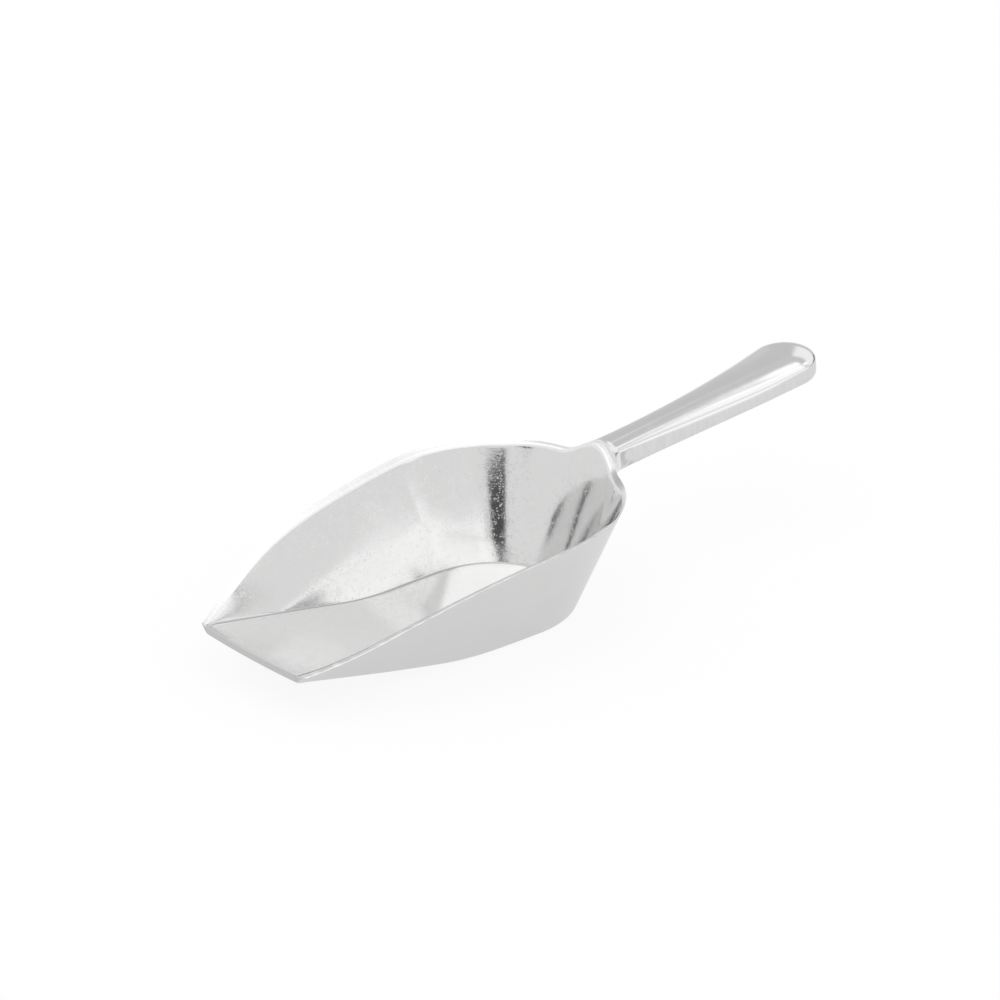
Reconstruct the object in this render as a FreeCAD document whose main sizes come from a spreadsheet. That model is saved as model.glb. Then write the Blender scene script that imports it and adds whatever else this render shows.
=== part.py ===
"""Small flat-bottomed ice scoop in aluminium: a flared tub, a swelling bar handle and the weld between.

Frame: millimetres, +X from the pouring lip towards the handle's end, +Z up, X-Z the plane of
symmetry, and the origin on the resting plane midway along the scoop. The tub is drawn with its
lip at x = 0 in its body's own axes, and the body's placement moves it back by half the length.
"""
import FreeCAD, Part
import os
import Sketcher

V = FreeCAD.Vector

# Driving dimensions, in mm and degrees. Each becomes a named cell of the sheet.
SIZES = {
    # the tub: a wall ruled between a floor outline and a wider outline at wall_height
    "wall_height": 42.5,
    "floor_lip_half": 9.9,
    "floor_lip_reach": 26.2,
    "floor_shoulder_half": 22.2,
    "floor_belly_reach": 60.3,
    "floor_half_width": 24.1,
    "floor_widest": 86.6,
    "floor_length": 114.4,
    "brim_lip_half": 52.2,
    "brim_lip_reach": 26.8,
    "brim_shoulder_half": 43.0,
    "brim_belly_reach": 52.4,
    "brim_half_width": 45.0,
    "brim_widest": 84.3,
    "brim_length": 128.5,
    # metal thickness, measured level
    "wall_at_floor": 2.5,
    "wall_at_brim": 1.9,
    "floor_thick": 2.2,
    # the wall runs aslant at the lip, so it measures this much thicker straight across
    "lip_slant": 1.1,
    # the front of the floor ramps up to the lip
    "ramp_length": 59.6,
    "ramp_rise": 11.1,
    "ramp_bend": 10.3,
    # side view of the rim
    "rim_at_lip": 13.1,
    "rim_lip_reach": 30.3,
    "rim_lip_height": 21.2,
    "rim_back_reach": 32.5,
    "rim_back_height": 31.8,
    "rim_at_back": 36.5,
    "bowl_length": 127.1,
    # plan view of the lip
    "lip_bow": 0.7,
    "lip_half_width": 20.9,
    "lip_corner": 1.2,
    # the handle's own axis starts under the rim and climbs away from the bowl
    "handle_start": 125.4,
    "handle_start_height": 30.2,
    "handle_climb": 7.6,
    # the origin stands this far behind the lip, under the middle of the whole length
    "half_length": 107.6,
    # a cubic curve's handle length for a quarter of an ellipse
    "quarter_round": 0.5523,
    # room that cutting tools keep past what they cut
    "overshoot": 10.0,
}

# Cross-sections along the handle's axis: distance along it, half width, height of the ground
# side, full thickness above the lower edge, crown of the underside and how far the section sags.
SECTION_SIZES = ("along", "half", "side", "thick", "belly", "sag")
HANDLE_SECTIONS = {
    "root": (-6.4, 5.3, 7.0, 8.5, 0.6, 0.0),
    "neck": (19.3, 5.6, 5.0, 8.2, 0.8, 0.55),
    "grip": (42.9, 7.0, 3.8, 8.1, 1.0, 0.8),
    "swell": (64.4, 8.9, 3.7, 8.0, 1.2, 0.65),
    "bulb": (80.4, 10.2, 4.6, 8.0, 1.2, 0.3),
}
WELD_SECTIONS = {
    "weld_rim": (-7.0, 12.0, 10.4, 13.1, 0.8, 3.5),
    "weld_throat": (0.5, 8.6, 9.0, 11.4, 0.8, 2.1),
    "weld_neck": (4.5, 6.6, 7.6, 9.8, 0.8, 0.8),
    "weld_toe": (9.0, 5.8, 6.8, 9.0, 0.9, 0.35),
}


def make_sheet(doc):
    """Put every driving dimension in a spreadsheet cell that carries its name."""
    cells = dict(SIZES)
    for name, row in {**HANDLE_SECTIONS, **WELD_SECTIONS}.items():
        for size, value in zip(SECTION_SIZES, row):
            cells[f"{name}_{size}"] = value
    sheet = doc.addObject("Spreadsheet::Sheet", "sizes")
    for row, (name, value) in enumerate(cells.items(), start=1):
        sheet.set(f"A{row}", name)
        sheet.set(f"B{row}", str(value))
        sheet.setAlias(f"B{row}", name)
    doc.recompute()
    return sheet


def from_sheet(expression):
    """Prefix each dimension's name with the sheet, so that a sketch or feature can use it."""
    words = []
    for word in expression.replace("(", " ( ").replace(")", " ) ").split():
        words.append(f"sizes.{word}" if word[0].isalpha() else word)
    return " ".join(words)


def value_of(doc, expression):
    """The number that an expression in the sheet's dimensions has now."""
    value = doc.getObject("sizes").evalExpression(from_sheet(expression))
    return float(getattr(value, "Value", value))


def new_body(doc, name, ahead="0", above="0"):
    """A body whose own origin stands ahead of the lip and above the resting plane."""
    body = doc.addObject("PartDesign::Body", name)
    body.Label = name
    body.setExpression("Placement.Base.x", from_sheet(f"{ahead} - half_length"))
    body.setExpression("Placement.Base.z", from_sheet(above))
    return body


def new_sketch(body, name, role, lifted="0"):
    """A sketch on one of the body's own origin planes, lifted along the plane's normal."""
    sketch = body.newObject("Sketcher::SketchObject", name)
    plane = next(item for item in body.Origin.OriginFeatures if item.Role == role)
    sketch.AttachmentSupport = [(plane, "")]
    sketch.MapMode = "FlatFace"
    if lifted != "0":
        sketch.setExpression(".AttachmentOffset.Base.z", from_sheet(lifted))
    return sketch


def pin(sketch, geometry, end, point):
    """Hold one point of a sketch at x and y expressions, both measured from the origin."""
    for kind, expression in zip(("DistanceX", "DistanceY"), point):
        start = value_of(sketch.Document, expression)
        index = sketch.addConstraint(Sketcher.Constraint(kind, -1, 1, geometry, end, start))
        sketch.setExpression(f"Constraints[{index}]", from_sheet(expression))


def draw_loop(sketch, runs):
    """Draw a closed outline. A run of two points is a line and a run of four is a cubic curve."""
    first_weight = None
    for run in runs:
        points = [V(*(value_of(sketch.Document, part) for part in point), 0) for point in run]
        if len(run) == 2:
            line = sketch.addGeometry(Part.LineSegment(*points))
            pin(sketch, line, 1, run[0])
            pin(sketch, line, 2, run[1])
            continue
        curve = Part.BSplineCurve(points, None, None, False, 3, None, False)
        curve = sketch.addGeometry(curve)
        for index, point in enumerate(run):
            pole = sketch.addGeometry(Part.Circle(points[index], V(0, 0, 1), 1), True)
            align = "InternalAlignment:Sketcher::BSplineControlPoint"
            sketch.addConstraint(Sketcher.Constraint(align, pole, 3, curve, index))
            if first_weight is None:
                sketch.addConstraint(Sketcher.Constraint("Weight", pole, 1.0))
                first_weight = pole
            else:
                sketch.addConstraint(Sketcher.Constraint("Equal", first_weight, pole))
            pin(sketch, pole, 3, point)


def mirrored(point):
    """The same point on the other side of the scoop."""
    return (point[0], f"-1 * ( {point[1]} )")


def tub_outline(level, inset):
    """Half-outline of the tub at one level: lip corner, shoulder, widest point and round nose."""
    lean = f"( {inset} ) * lip_slant"
    half = f"{level}_half_width - ( {inset} )"
    length = f"{level}_length - ( {inset} )"
    round_reach = f"{level}_widest + quarter_round * ( {length} - {level}_widest )"
    side = [("0", f"{level}_lip_half - {lean}"),
            (f"{level}_lip_reach", f"{level}_shoulder_half - {lean}"),
            (f"{level}_belly_reach", half),
            (f"{level}_widest", half)]
    nose = [side[-1],
            (round_reach, half),
            (length, f"quarter_round * ( {half} )"),
            (length, "0")]
    return side, nose


def draw_tub_outline(sketch, level, inset):
    side, nose = tub_outline(level, inset)
    far_side = [mirrored(point) for point in side]
    far_nose = [mirrored(point) for point in nose]
    draw_loop(sketch, [side, nose, far_nose[::-1], far_side[::-1], [far_side[0], side[0]]])


def make_tub(doc, name, floor_inset="0", brim_inset="0"):
    """A closed tub block, ruled between its floor outline and its brim outline."""
    body = new_body(doc, name)
    floor = new_sketch(body, f"{name}_floor", "XY_Plane")
    draw_tub_outline(floor, "floor", floor_inset)
    brim = new_sketch(body, f"{name}_brim", "XY_Plane", "wall_height")
    draw_tub_outline(brim, "brim", brim_inset)
    loft = body.newObject("PartDesign::AdditiveLoft", f"{name}_wall")
    loft.Profile = floor
    loft.Sections = [brim]
    loft.Ruled = True
    doc.recompute()
    return body


def cut_through(body, sketch, name):
    """Remove a sketch's outline from the whole body, both ways from the sketch's plane."""
    before = body.Shape.Volume
    pocket = body.newObject("PartDesign::Pocket", name)
    pocket.Profile = sketch
    pocket.Midplane = True
    pocket.Type = "ThroughAll"
    body.Document.recompute()
    print(f"{name}: {before:.0f} -> {body.Shape.Volume:.0f} mm3")
    if not 0 < body.Shape.Volume < before:
        raise RuntimeError(f"{name} removed nothing")


def cut_above_rim(body):
    """Trim the wall's top to the rim's side view, which climbs from the lip to the back."""
    sketch = new_sketch(body, "rim_side_view", "XZ_Plane")
    start = ("0", "rim_at_lip")
    finish = ("bowl_length", "rim_at_back")
    rim = [start, ("rim_lip_reach", "rim_lip_height"), ("rim_back_reach", "rim_back_height"), finish]
    corners = [finish,
               ("bowl_length + overshoot", "rim_at_back"),
               ("bowl_length + overshoot", "wall_height + overshoot"),
               ("-1 * overshoot", "wall_height + overshoot"),
               ("-1 * overshoot", "rim_at_lip"),
               start]
    draw_loop(sketch, [rim] + [list(pair) for pair in zip(corners, corners[1:])])
    cut_through(body, sketch, "rim_trim")


def cut_below_floor(body, lift, name):
    """Trim the underside: flat at the back, bending up in front to the lip, lifted by lift."""
    sketch = new_sketch(body, f"{name}_side_view", "XZ_Plane")
    slope = "ramp_rise / ramp_length"
    level = f"( {lift} )"
    bend_start = ("ramp_length + ramp_bend", level)
    bend_end = ("ramp_length - ramp_bend", f"{level} + ramp_bend * {slope}")
    bend = [bend_start,
            ("ramp_length + ramp_bend / 3", level),
            ("ramp_length - ramp_bend / 3", f"{level} + ramp_bend * {slope} / 3"),
            bend_end]
    corners = [bend_end,
               ("-1 * overshoot", f"{level} + ( ramp_length + overshoot ) * {slope}"),
               ("-1 * overshoot", "-1 * overshoot"),
               ("floor_length + overshoot", "-1 * overshoot"),
               ("floor_length + overshoot", level),
               bend_start]
    draw_loop(sketch, [bend] + [list(pair) for pair in zip(corners, corners[1:])])
    cut_through(body, sketch, name)


def cut_lip(body):
    """Bow the lip's front edge slightly forward in plan."""
    sketch = new_sketch(body, "lip_plan", "XY_Plane")
    reach = "( lip_half_width + overshoot )"
    depth = f"( lip_bow * ( {reach} / lip_half_width ) ^ 2 )"
    near = (depth, f"-1 * {reach}")
    far = (depth, reach)
    bow = [near, (f"-1 * {depth} / 3", f"-1 * {reach} / 3"), (f"-1 * {depth} / 3", f"{reach} / 3"), far]
    corners = [far, ("-1 * overshoot", reach), ("-1 * overshoot", f"-1 * {reach}"), near]
    draw_loop(sketch, [bow] + [list(pair) for pair in zip(corners, corners[1:])])
    cut_through(body, sketch, "lip_trim")


def round_edges(body, name, radius, wanted):
    """Fillet the edges of a body that a test on their end points picks out."""
    base = body.Tip
    names = []
    for index, edge in enumerate(base.Shape.Edges, start=1):
        if all(wanted(vertex.Point) for vertex in edge.Vertexes):
            names.append(f"Edge{index}")
    fillet = body.newObject("PartDesign::Fillet", name)
    fillet.Base = (base, names)
    fillet.setExpression("Radius", from_sheet(radius))
    before = body.Shape.Volume
    body.Document.recompute()
    print(f"{name}: {len(names)} edges, {before:.0f} -> {body.Shape.Volume:.0f} mm3")


def draw_bar_section(sketch, name, half_only=False):
    """Bar cross-section: crowned top, upright ground sides and a shallow crowned underside."""
    half = f"{name}_half"
    low = f"-1 * {name}_sag"
    shoulder = f"{name}_side - {name}_sag"
    crown = f"{name}_thick - {name}_sag"
    rise = f"{shoulder} + quarter_round * ( {crown} - ( {shoulder} ) )"
    keel = f"{low} - {name}_belly"
    top = [(half, shoulder), (half, rise), (f"quarter_round * {half}", crown), ("0", crown)]
    bottom = [("0", keel),
              (f"{half} / 3", keel),
              (f"{half} * 2 / 3", f"{low} - {name}_belly * 2 / 3"),
              (half, low)]
    side = [(half, low), (half, shoulder)]
    if half_only:
        draw_loop(sketch, [bottom, side, top, [("0", crown), ("0", keel)]])
        return
    runs = [bottom, side, top]
    other = [[(f"-1 * ( {point[0]} )", point[1]) for point in run[::-1]] for run in runs[::-1]]
    draw_loop(sketch, runs + other)


def make_bar(doc, name, section_names):
    """A body lofted through cross-sections that stand along the handle's climbing axis."""
    body = new_body(doc, name, "handle_start", "handle_start_height")
    sketches = []
    for section in section_names:
        sketch = new_sketch(body, f"{section}_section", "YZ_Plane", f"{section}_along")
        draw_bar_section(sketch, section)
        sketches.append(sketch)
    loft = body.newObject("PartDesign::AdditiveLoft", f"{name}_loft")
    loft.Profile = sketches[0]
    loft.Sections = sketches[1:]
    body.Placement.Rotation = FreeCAD.Rotation(V(0, -1, 0), value_of(doc, "handle_climb"))
    body.setExpression("Placement.Rotation.Angle", from_sheet("handle_climb"))
    doc.recompute()
    return body


def round_handle_end(body):
    """Close the handle by turning half of its last section about that section's upright axis."""
    sketch = new_sketch(body, "end_section", "YZ_Plane", "bulb_along")
    draw_bar_section(sketch, "bulb", half_only=True)
    end = body.newObject("PartDesign::Revolution", "handle_end")
    end.Profile = sketch
    end.ReferenceAxis = (sketch, ["V_Axis"])
    end.Angle = 180
    end.Reversed = True
    before = body.Shape.Volume
    body.Document.recompute()
    print(f"handle_end: {before:.0f} -> {body.Shape.Volume:.0f} mm3")


def cut(doc, name, base, tool):
    result = doc.addObject("Part::Cut", name)
    result.Base = base
    result.Tool = tool
    result.Label = name
    doc.recompute()
    return result


def build(doc):
    make_sheet(doc)

    wall_block = make_tub(doc, "wall_block")
    bowl_outside = make_tub(doc, "bowl_outside")
    cut_above_rim(bowl_outside)
    cut_below_floor(bowl_outside, "0", "underside_trim")
    cut_lip(bowl_outside)
    corner_reach = value_of(doc, "lip_half_width - lip_corner")
    overshoot = value_of(doc, "overshoot")
    round_edges(bowl_outside, "lip_corners", "lip_corner",
                lambda point: point.x < overshoot and abs(point.y) > corner_reach)
    bowl_hollow = make_tub(doc, "bowl_hollow", "wall_at_floor", "wall_at_brim")
    cut_below_floor(bowl_hollow, "floor_thick", "floor_trim")
    bowl = cut(doc, "bowl", bowl_outside, bowl_hollow)

    handle_bar = make_bar(doc, "handle_bar", HANDLE_SECTIONS)
    round_handle_end(handle_bar)
    handle = cut(doc, "handle", handle_bar, wall_block)

    weld_blank = make_bar(doc, "weld_blank", WELD_SECTIONS)
    weld_off_bowl = cut(doc, "weld_off_bowl", weld_blank, bowl_outside)
    weld_off_hollow = cut(doc, "weld_off_hollow", weld_off_bowl, bowl_hollow)
    weld = cut(doc, "root_weld", weld_off_hollow, handle)
    return [bowl, handle, weld]


def check(doc, parts):
    for item in doc.Objects:
        if "Invalid" in item.State or "Error" in item.State:
            raise RuntimeError(f"{item.Name} is {item.State}")
    for part in parts:
        if part.Shape.isNull() or not part.Shape.isValid():
            raise RuntimeError(f"{part.Label} has no valid shape")


def main():
    doc = FreeCAD.newDocument("ice_scoop")
    parts = build(doc)
    check(doc, parts)
    os.makedirs("parts", exist_ok=True)
    for part in parts:
        part.Shape.exportStep(f"parts/{part.Label}.step")
        box = part.Shape.optimalBoundingBox()
        print(f"{part.Label}: {len(part.Shape.Solids)} solid, {part.Shape.Volume:.0f} mm3, "
              f"x {box.XMin:.1f}..{box.XMax:.1f}, z {box.ZMin:.1f}..{box.ZMax:.1f}")


main()
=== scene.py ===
# %% [markdown]
# # A small aluminium ice scoop
#
# The real scoop is one thin metal tub with a flat floor that ramps up to a pouring lip, a solid
# bar handle that swells towards its end, and a lump of weld that joins the two. Bright tumbled
# metal has almost no colour of its own, so the lesson is mostly about clean shapes, fine surface
# marks and what the metal has around it to reflect.

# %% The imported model, and the box it fills
import bmesh
import bpy
import math
from mathutils import Matrix, Vector, noise


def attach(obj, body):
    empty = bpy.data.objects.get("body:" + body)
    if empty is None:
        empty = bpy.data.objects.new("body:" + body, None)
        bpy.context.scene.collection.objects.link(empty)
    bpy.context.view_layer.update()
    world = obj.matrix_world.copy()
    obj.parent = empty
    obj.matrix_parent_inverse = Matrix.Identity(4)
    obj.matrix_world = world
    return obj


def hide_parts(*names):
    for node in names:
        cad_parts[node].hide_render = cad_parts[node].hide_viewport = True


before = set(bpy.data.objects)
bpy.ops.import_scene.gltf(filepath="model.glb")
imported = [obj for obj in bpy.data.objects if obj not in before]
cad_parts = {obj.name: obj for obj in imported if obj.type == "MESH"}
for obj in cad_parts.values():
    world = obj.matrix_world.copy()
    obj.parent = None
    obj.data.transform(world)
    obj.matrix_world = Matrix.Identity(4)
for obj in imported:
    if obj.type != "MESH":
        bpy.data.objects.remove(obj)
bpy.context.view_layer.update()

MM = 0.001

# %% [markdown]
# ## Camera
#
# A long lens from about 1.3 m away, looking down from in front and to the left of the lip. Small
# objects are often shot this way, because the distance keeps their proportions true.

# %% Camera
CAMERA_AZIMUTH = math.radians(-41.07)
CAMERA_ELEVATION = math.radians(24.47)
CAMERA_ROLL = math.radians(0.15)
CAMERA_DISTANCE = 1.288
CAMERA_TARGET = Vector((-0.01563, 0.0, 0.03219))
SENSOR_WIDTH, FOCAL_LENGTH, FARTHEST = 36.0, 161.15, 100.0


def make_camera():
    """A long-lens camera looking at the target from its bearing, height and distance."""
    back = Vector((math.sin(CAMERA_AZIMUTH) * math.cos(CAMERA_ELEVATION),
                   -math.cos(CAMERA_AZIMUTH) * math.cos(CAMERA_ELEVATION),
                   math.sin(CAMERA_ELEVATION)))
    right = Vector((math.cos(CAMERA_AZIMUTH), math.sin(CAMERA_AZIMUTH), 0.0))
    up = back.cross(right)
    turn = Matrix.Rotation(CAMERA_ROLL, 3, back)
    right, up = turn @ right, turn @ up
    data = bpy.data.cameras.new("camera")
    data.sensor_width = SENSOR_WIDTH
    data.lens = FOCAL_LENGTH
    data.clip_end = FARTHEST
    camera = bpy.data.objects.new("camera", data)
    place = CAMERA_TARGET + back * CAMERA_DISTANCE
    axes = Matrix((right, up, back)).transposed().to_4x4()
    camera.matrix_world = Matrix.Translation(place) @ axes
    bpy.context.scene.collection.objects.link(camera)
    bpy.context.scene.camera = camera
    return camera


camera = make_camera()
print("camera at", [round(value, 3) for value in camera.location])

# %% [markdown]
# ## The tub's shape
#
# The wall is ruled: straight lines join a floor outline to a wider brim outline, as the sides of
# a mould would be cut. Each half-outline is two cubic curves, one along the side and one round
# the back. The same few numbers give the outside and, moved in by the metal's thickness, the
# inside.

# %% The tub's sizes, in millimetres from the lip
HALF_LENGTH = 107.6
WALL_HEIGHT = 42.5
FLOOR_THICK = 2.2
RAMP_LENGTH, RAMP_RISE, RAMP_BEND = 59.6, 11.1, 10.3
QUARTER_ROUND = 0.5523
FLOOR = dict(lip=9.9, reach=26.2, shoulder=22.2, belly=60.3, half=24.1, widest=86.6, length=114.4)
BRIM = dict(lip=52.2, reach=26.8, shoulder=43.0, belly=52.4, half=45.0, widest=84.3, length=128.5)
WALL_AT_FLOOR, WALL_AT_BRIM = 2.5, 1.9
RIM = ((0.0, 13.1), (30.3, 21.2), (32.5, 31.8), (127.1, 36.5))
SQUARE_OFF = 1.1           # the side runs at a slant, so its inset is a little more than the thickness
LIP_BOW, LIP_HALF, LIP_CORNER, LIP_FADE = 0.7, 20.9, 0.6, 30.0
BELL_MIDDLE, BELL_NEAR, BELL_FAR, BELL_RISE = -3.0, 14.5, 12.0, 4.7
RIM_TILT, TILT_ALONG, TILT_ACROSS = 0.5, (0.0, 20.0), (14.0, 26.0)
NEAR_THIN, NEAR_THIN_ALONG, NEAR_THIN_ACROSS = 0.72, (96.0, 105.0), (19.0, 24.5)
FAR_THIN, FAR_THIN_ALONG = 0.35, (75.0, 30.0)
PARED_DEEP, WALL_BOW, MIDDLE_WALL, LEAST_WALL = 16.0, 0.5, 2.2, 0.02
HALVINGS, SETTLE_ROUNDS, FIRST_GUESS = 30, 25, 10.0


def cubic(points, t):
    """A point on a cubic curve with four control points."""
    s = 1.0 - t
    weights = (s * s * s, 3 * s * s * t, 3 * s * t * t, t * t * t)
    return tuple(sum(w * p[axis] for w, p in zip(weights, points)) for axis in range(2))


def half_outline(level, inset, along):
    """The outline's point at along, which runs 0..1 by the side and 1..2 round the back."""
    lean, half, length = inset * SQUARE_OFF, level["half"] - inset, level["length"] - inset
    if along <= 1.0:
        side = ((0.0, level["lip"] - lean), (level["reach"], level["shoulder"] - lean),
                (level["belly"], half), (level["widest"], half))
        return cubic(side, along)
    reach = level["widest"] + QUARTER_ROUND * (length - level["widest"])
    nose = ((level["widest"], half), (reach, half), (length, QUARTER_ROUND * half), (length, 0.0))
    return cubic(nose, along - 1.0)


def wall_point(along, height, inner):
    """A point on the wall's inner or outer face, with y positive."""
    floor = half_outline(FLOOR, WALL_AT_FLOOR if inner else 0.0, along)
    brim = half_outline(BRIM, WALL_AT_BRIM if inner else 0.0, along)
    share = height / WALL_HEIGHT
    return tuple(low + (high - low) * share for low, high in zip(floor, brim))


def underside(x):
    """Height of the floor's underside: a ramp, a soft bend and then the flat."""
    slope = RAMP_RISE / RAMP_LENGTH
    if x >= RAMP_LENGTH + RAMP_BEND:
        return 0.0
    if x <= RAMP_LENGTH - RAMP_BEND:
        return (RAMP_LENGTH - x) * slope
    t = (RAMP_LENGTH + RAMP_BEND - x) / (2 * RAMP_BEND)
    return RAMP_BEND * slope * t * t


def rim_height(x):
    """Height of the rim above the table at distance x from the lip, by halving the curve."""
    low, high = 0.0, 1.0
    for _ in range(HALVINGS):
        middle = (low + high) / 2
        if cubic(RIM, middle)[0] < x:
            low = middle
        else:
            high = middle
    return cubic(RIM, low)[1]


def bell(x, y):
    """How far the rim rises behind the handle's root: a smooth bell, wider on the near side."""
    away = y - BELL_MIDDLE
    share = abs(away) / (BELL_NEAR if away < 0 else BELL_FAR)
    if x < FLOOR["widest"] or share >= 1.0:
        return 0.0
    return BELL_RISE * (0.5 + 0.5 * math.cos(math.pi * share))


def ease(low, high, value):
    """0 at low, 1 at high and a smooth change between. High may be the smaller number."""
    share = min(max((value - low) / (high - low), 0.0), 1.0)
    return share * share * (3.0 - 2.0 * share)


def rim_tilt(x, y):
    """How much lower the inner edge is than the outer, as the rim is cut square to the wall."""
    return RIM_TILT * ease(*TILT_ALONG, x) * ease(*TILT_ACROSS, abs(y))


def rim_thin(x, y):
    """Share of the wall's thickness lost inside the rim where it was dressed back too far."""
    if y > 0.0:
        return FAR_THIN * ease(*FAR_THIN_ALONG, x)
    return NEAR_THIN * ease(*NEAR_THIN_ACROSS, -y) * ease(*NEAR_THIN_ALONG, x)


def settle(along, inner, height_at):
    """The height at which a ruling meets a surface whose height depends on x."""
    height = FIRST_GUESS
    for _ in range(SETTLE_ROUNDS):
        height = height_at(wall_point(along, height, inner)[0])
    return height


print("rim above the back:", round(rim_height(127.1), 1), "mm; wide", 2 * wall_point(1, 36, False)[1])

# %% [markdown]
# ## A shell made by sweeping a section round the outline
#
# A section of the tub, from the middle of the floor, up the inside of the wall, over the rim and
# back underneath, is carried from one lip corner round the back to the other. Every section has
# the same number of points, so joining neighbours gives a clean grid of quads, with small rounds
# where the real edges are rounded. That is cleaner for mirror-like metal than the CAD's triangles.

# %% Sweep helper
SHARP_ANGLE = math.radians(32)
SAME_POINT, NO_LENGTH = 0.00002, 0.00001


def grid_mesh(name, sections, ends, marks):
    """Join equal sections, in millimetres, into a closed mesh. Each mark is a named value per point."""
    mesh = bpy.data.meshes.new(name)
    build = bmesh.new()
    layers = {mark: build.verts.layers.float.new(mark) for mark in marks}
    rows = []
    for place, section in enumerate(sections):
        rows.append([build.verts.new(Vector(point) * MM) for point in section])
        for mark, layer in layers.items():
            for index, vert in enumerate(rows[-1]):
                vert[layer] = marks[mark](place, index)
    for left, right in zip(rows, rows[1:]):
        for index in range(len(left) - 1):
            build.faces.new((left[index], left[index + 1], right[index + 1], right[index]))
    for row in ends(rows):
        build.faces.new(row)
    bmesh.ops.remove_doubles(build, verts=build.verts, dist=SAME_POINT)
    bmesh.ops.dissolve_degenerate(build, edges=build.edges, dist=NO_LENGTH)
    bmesh.ops.recalc_face_normals(build, faces=build.faces)
    for face in build.faces:
        face.smooth = True
    for edge in build.edges:
        if len(edge.link_faces) == 2 and edge.calc_face_angle(0.0) > SHARP_ANGLE:
            edge.smooth = False
    build.to_mesh(mesh)
    build.free()
    piece = bpy.data.objects.new(name, mesh)
    bpy.context.scene.collection.objects.link(piece)
    return piece


def travel(sections, index):
    """Distance run from the first section to each section, along one line of points."""
    line = [Vector(section[index]) for section in sections]
    total = [0.0]
    for one, two in zip(line, line[1:]):
        total.append(total[-1] + (two - one).length)
    return total


# %% Sections of the tub
FLOOR_STEPS, WALL_STEPS, SIDE_STEPS, BACK_STEPS = 16, 26, 90, 60
RIM_ROUND, FOOT_ROUND, CREASE_ROUND = 0.35, 1.0, 0.55
ROUND_SHARE = 0.3          # where the wall is low, a round takes no more than this share of it
CREASE_TURN, FOOT_TURN = (0.2, 0.4, 0.6, 0.8), (0.25, 0.5, 0.75)
ROUND_OUT, ROUND_BACK, RIM_MIDDLE = 0.6, 0.4, 0.45     # the rim's in-between points
CREASE_ROW, RIM_ROW = FLOOR_STEPS + 3, FLOOR_STEPS + WALL_STEPS + 6


def wave(point, size, strength):
    """A slow unevenness, as hand-finished sheet and castings have."""
    return strength * noise.noise(Vector(point) / size)


def mix(low, high, share):
    """The point at a share of the way from low to high."""
    return tuple(a + (b - a) * share for a, b in zip(low, high))


def tub_section(along, side):
    """One section from the floor's middle line, over the rim, to the underside's middle line."""
    foot_in = settle(along, True, lambda x: underside(x) + FLOOR_THICK)
    foot_out = settle(along, False, underside)
    top_out = max(settle(along, False, rim_height), foot_out + FLOOR_THICK)
    top_out += bell(*(value * turn for value, turn in zip(wall_point(along, top_out, False), (1, side))))
    top_in = max(settle(along, True, rim_height), foot_in + LEAST_WALL)
    x, y = wall_point(along, top_in, True)
    top_in = max(top_in + bell(x, side * y) - rim_tilt(x, y), foot_in + LEAST_WALL)
    thin = rim_thin(x, side * y)
    crease = (*wall_point(along, foot_in, True), foot_in)
    heel = (*wall_point(along, foot_out, False), foot_out)
    lip_in = (*wall_point(along, top_in, True), top_in)
    lip_out = (*wall_point(along, top_out, False), top_out)
    middle_x = min(crease[0], FLOOR["widest"])
    points = []
    tall = max(top_in - foot_in, LEAST_WALL)
    corner = min(CREASE_ROUND, ROUND_SHARE * tall)
    wide = max(crease[1], 1.0)
    for step in range(FLOOR_STEPS + 1):
        share = step / FLOOR_STEPS * (1.0 - corner / wide)
        x, y = mix((middle_x, 0.0), crease[:2], share)
        points.append((x, y, underside(x) + FLOOR_THICK))
    soft = min(RIM_ROUND, ROUND_SHARE * tall)
    low = foot_in + corner
    wall_start = (*wall_point(along, low, True), low)
    floor_end = points[-1]
    for share in CREASE_TURN:
        points.append(mix(mix(floor_end, crease, share), mix(crease, wall_start, share), share))
    for step in range(WALL_STEPS + 1):
        height = low + (top_in - soft - low) * step / WALL_STEPS
        up = (height - foot_in) / tall
        bowed = WALL_BOW / MIDDLE_WALL * 4.0 * up * (1.0 - up)
        pared = thin * ease(top_in - PARED_DEEP, top_in, height) - bowed
        inside, outside = wall_point(along, height, True), wall_point(along, height, False)
        points.append((*mix(inside, outside, pared), height))
    lip_in = (*mix(lip_in[:2], lip_out[:2], thin), top_in)
    soft_in = soft * (1.0 - thin)
    inner_edge = (*mix(lip_in[:2], lip_out[:2], soft_in / WALL_AT_BRIM), top_in)
    points.append(mix(mix(points[-1], lip_in, ROUND_OUT), inner_edge, ROUND_BACK))
    points.append(inner_edge)
    points.append(mix(inner_edge, (*lip_out[:2], top_out), RIM_MIDDLE))
    outer_edge = (*mix(lip_out[:2], lip_in[:2], soft_in / WALL_AT_BRIM), top_out)
    points.append(outer_edge)
    start = (*wall_point(along, top_out - soft, False), top_out - soft)
    points.append(mix(mix(start, lip_out, ROUND_OUT), outer_edge, ROUND_BACK))
    foot_soft = min(FOOT_ROUND, ROUND_SHARE * (top_out - foot_out))
    finish = foot_out + foot_soft
    for step in range(WALL_STEPS + 1):
        height = (top_out - soft) + (finish - top_out + soft) * step / WALL_STEPS
        points.append((*wall_point(along, height, False), height))
    turn_in = mix(heel[:2], (min(heel[0], FLOOR["widest"]), 0.0), foot_soft / max(heel[1], 1.0))
    under = (*turn_in, underside(turn_in[0]))
    wall_end = points[-1]
    for share in FOOT_TURN:
        points.append(mix(mix(wall_end, heel, share), mix(heel, under, share), share))
    points.append(under)
    for step in range(1, FLOOR_STEPS + 1):
        share = step / FLOOR_STEPS
        x, y = mix(turn_in, (min(heel[0], FLOOR["widest"]), 0.0), share)
        points.append((x, y, underside(x)))
    return points


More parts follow.
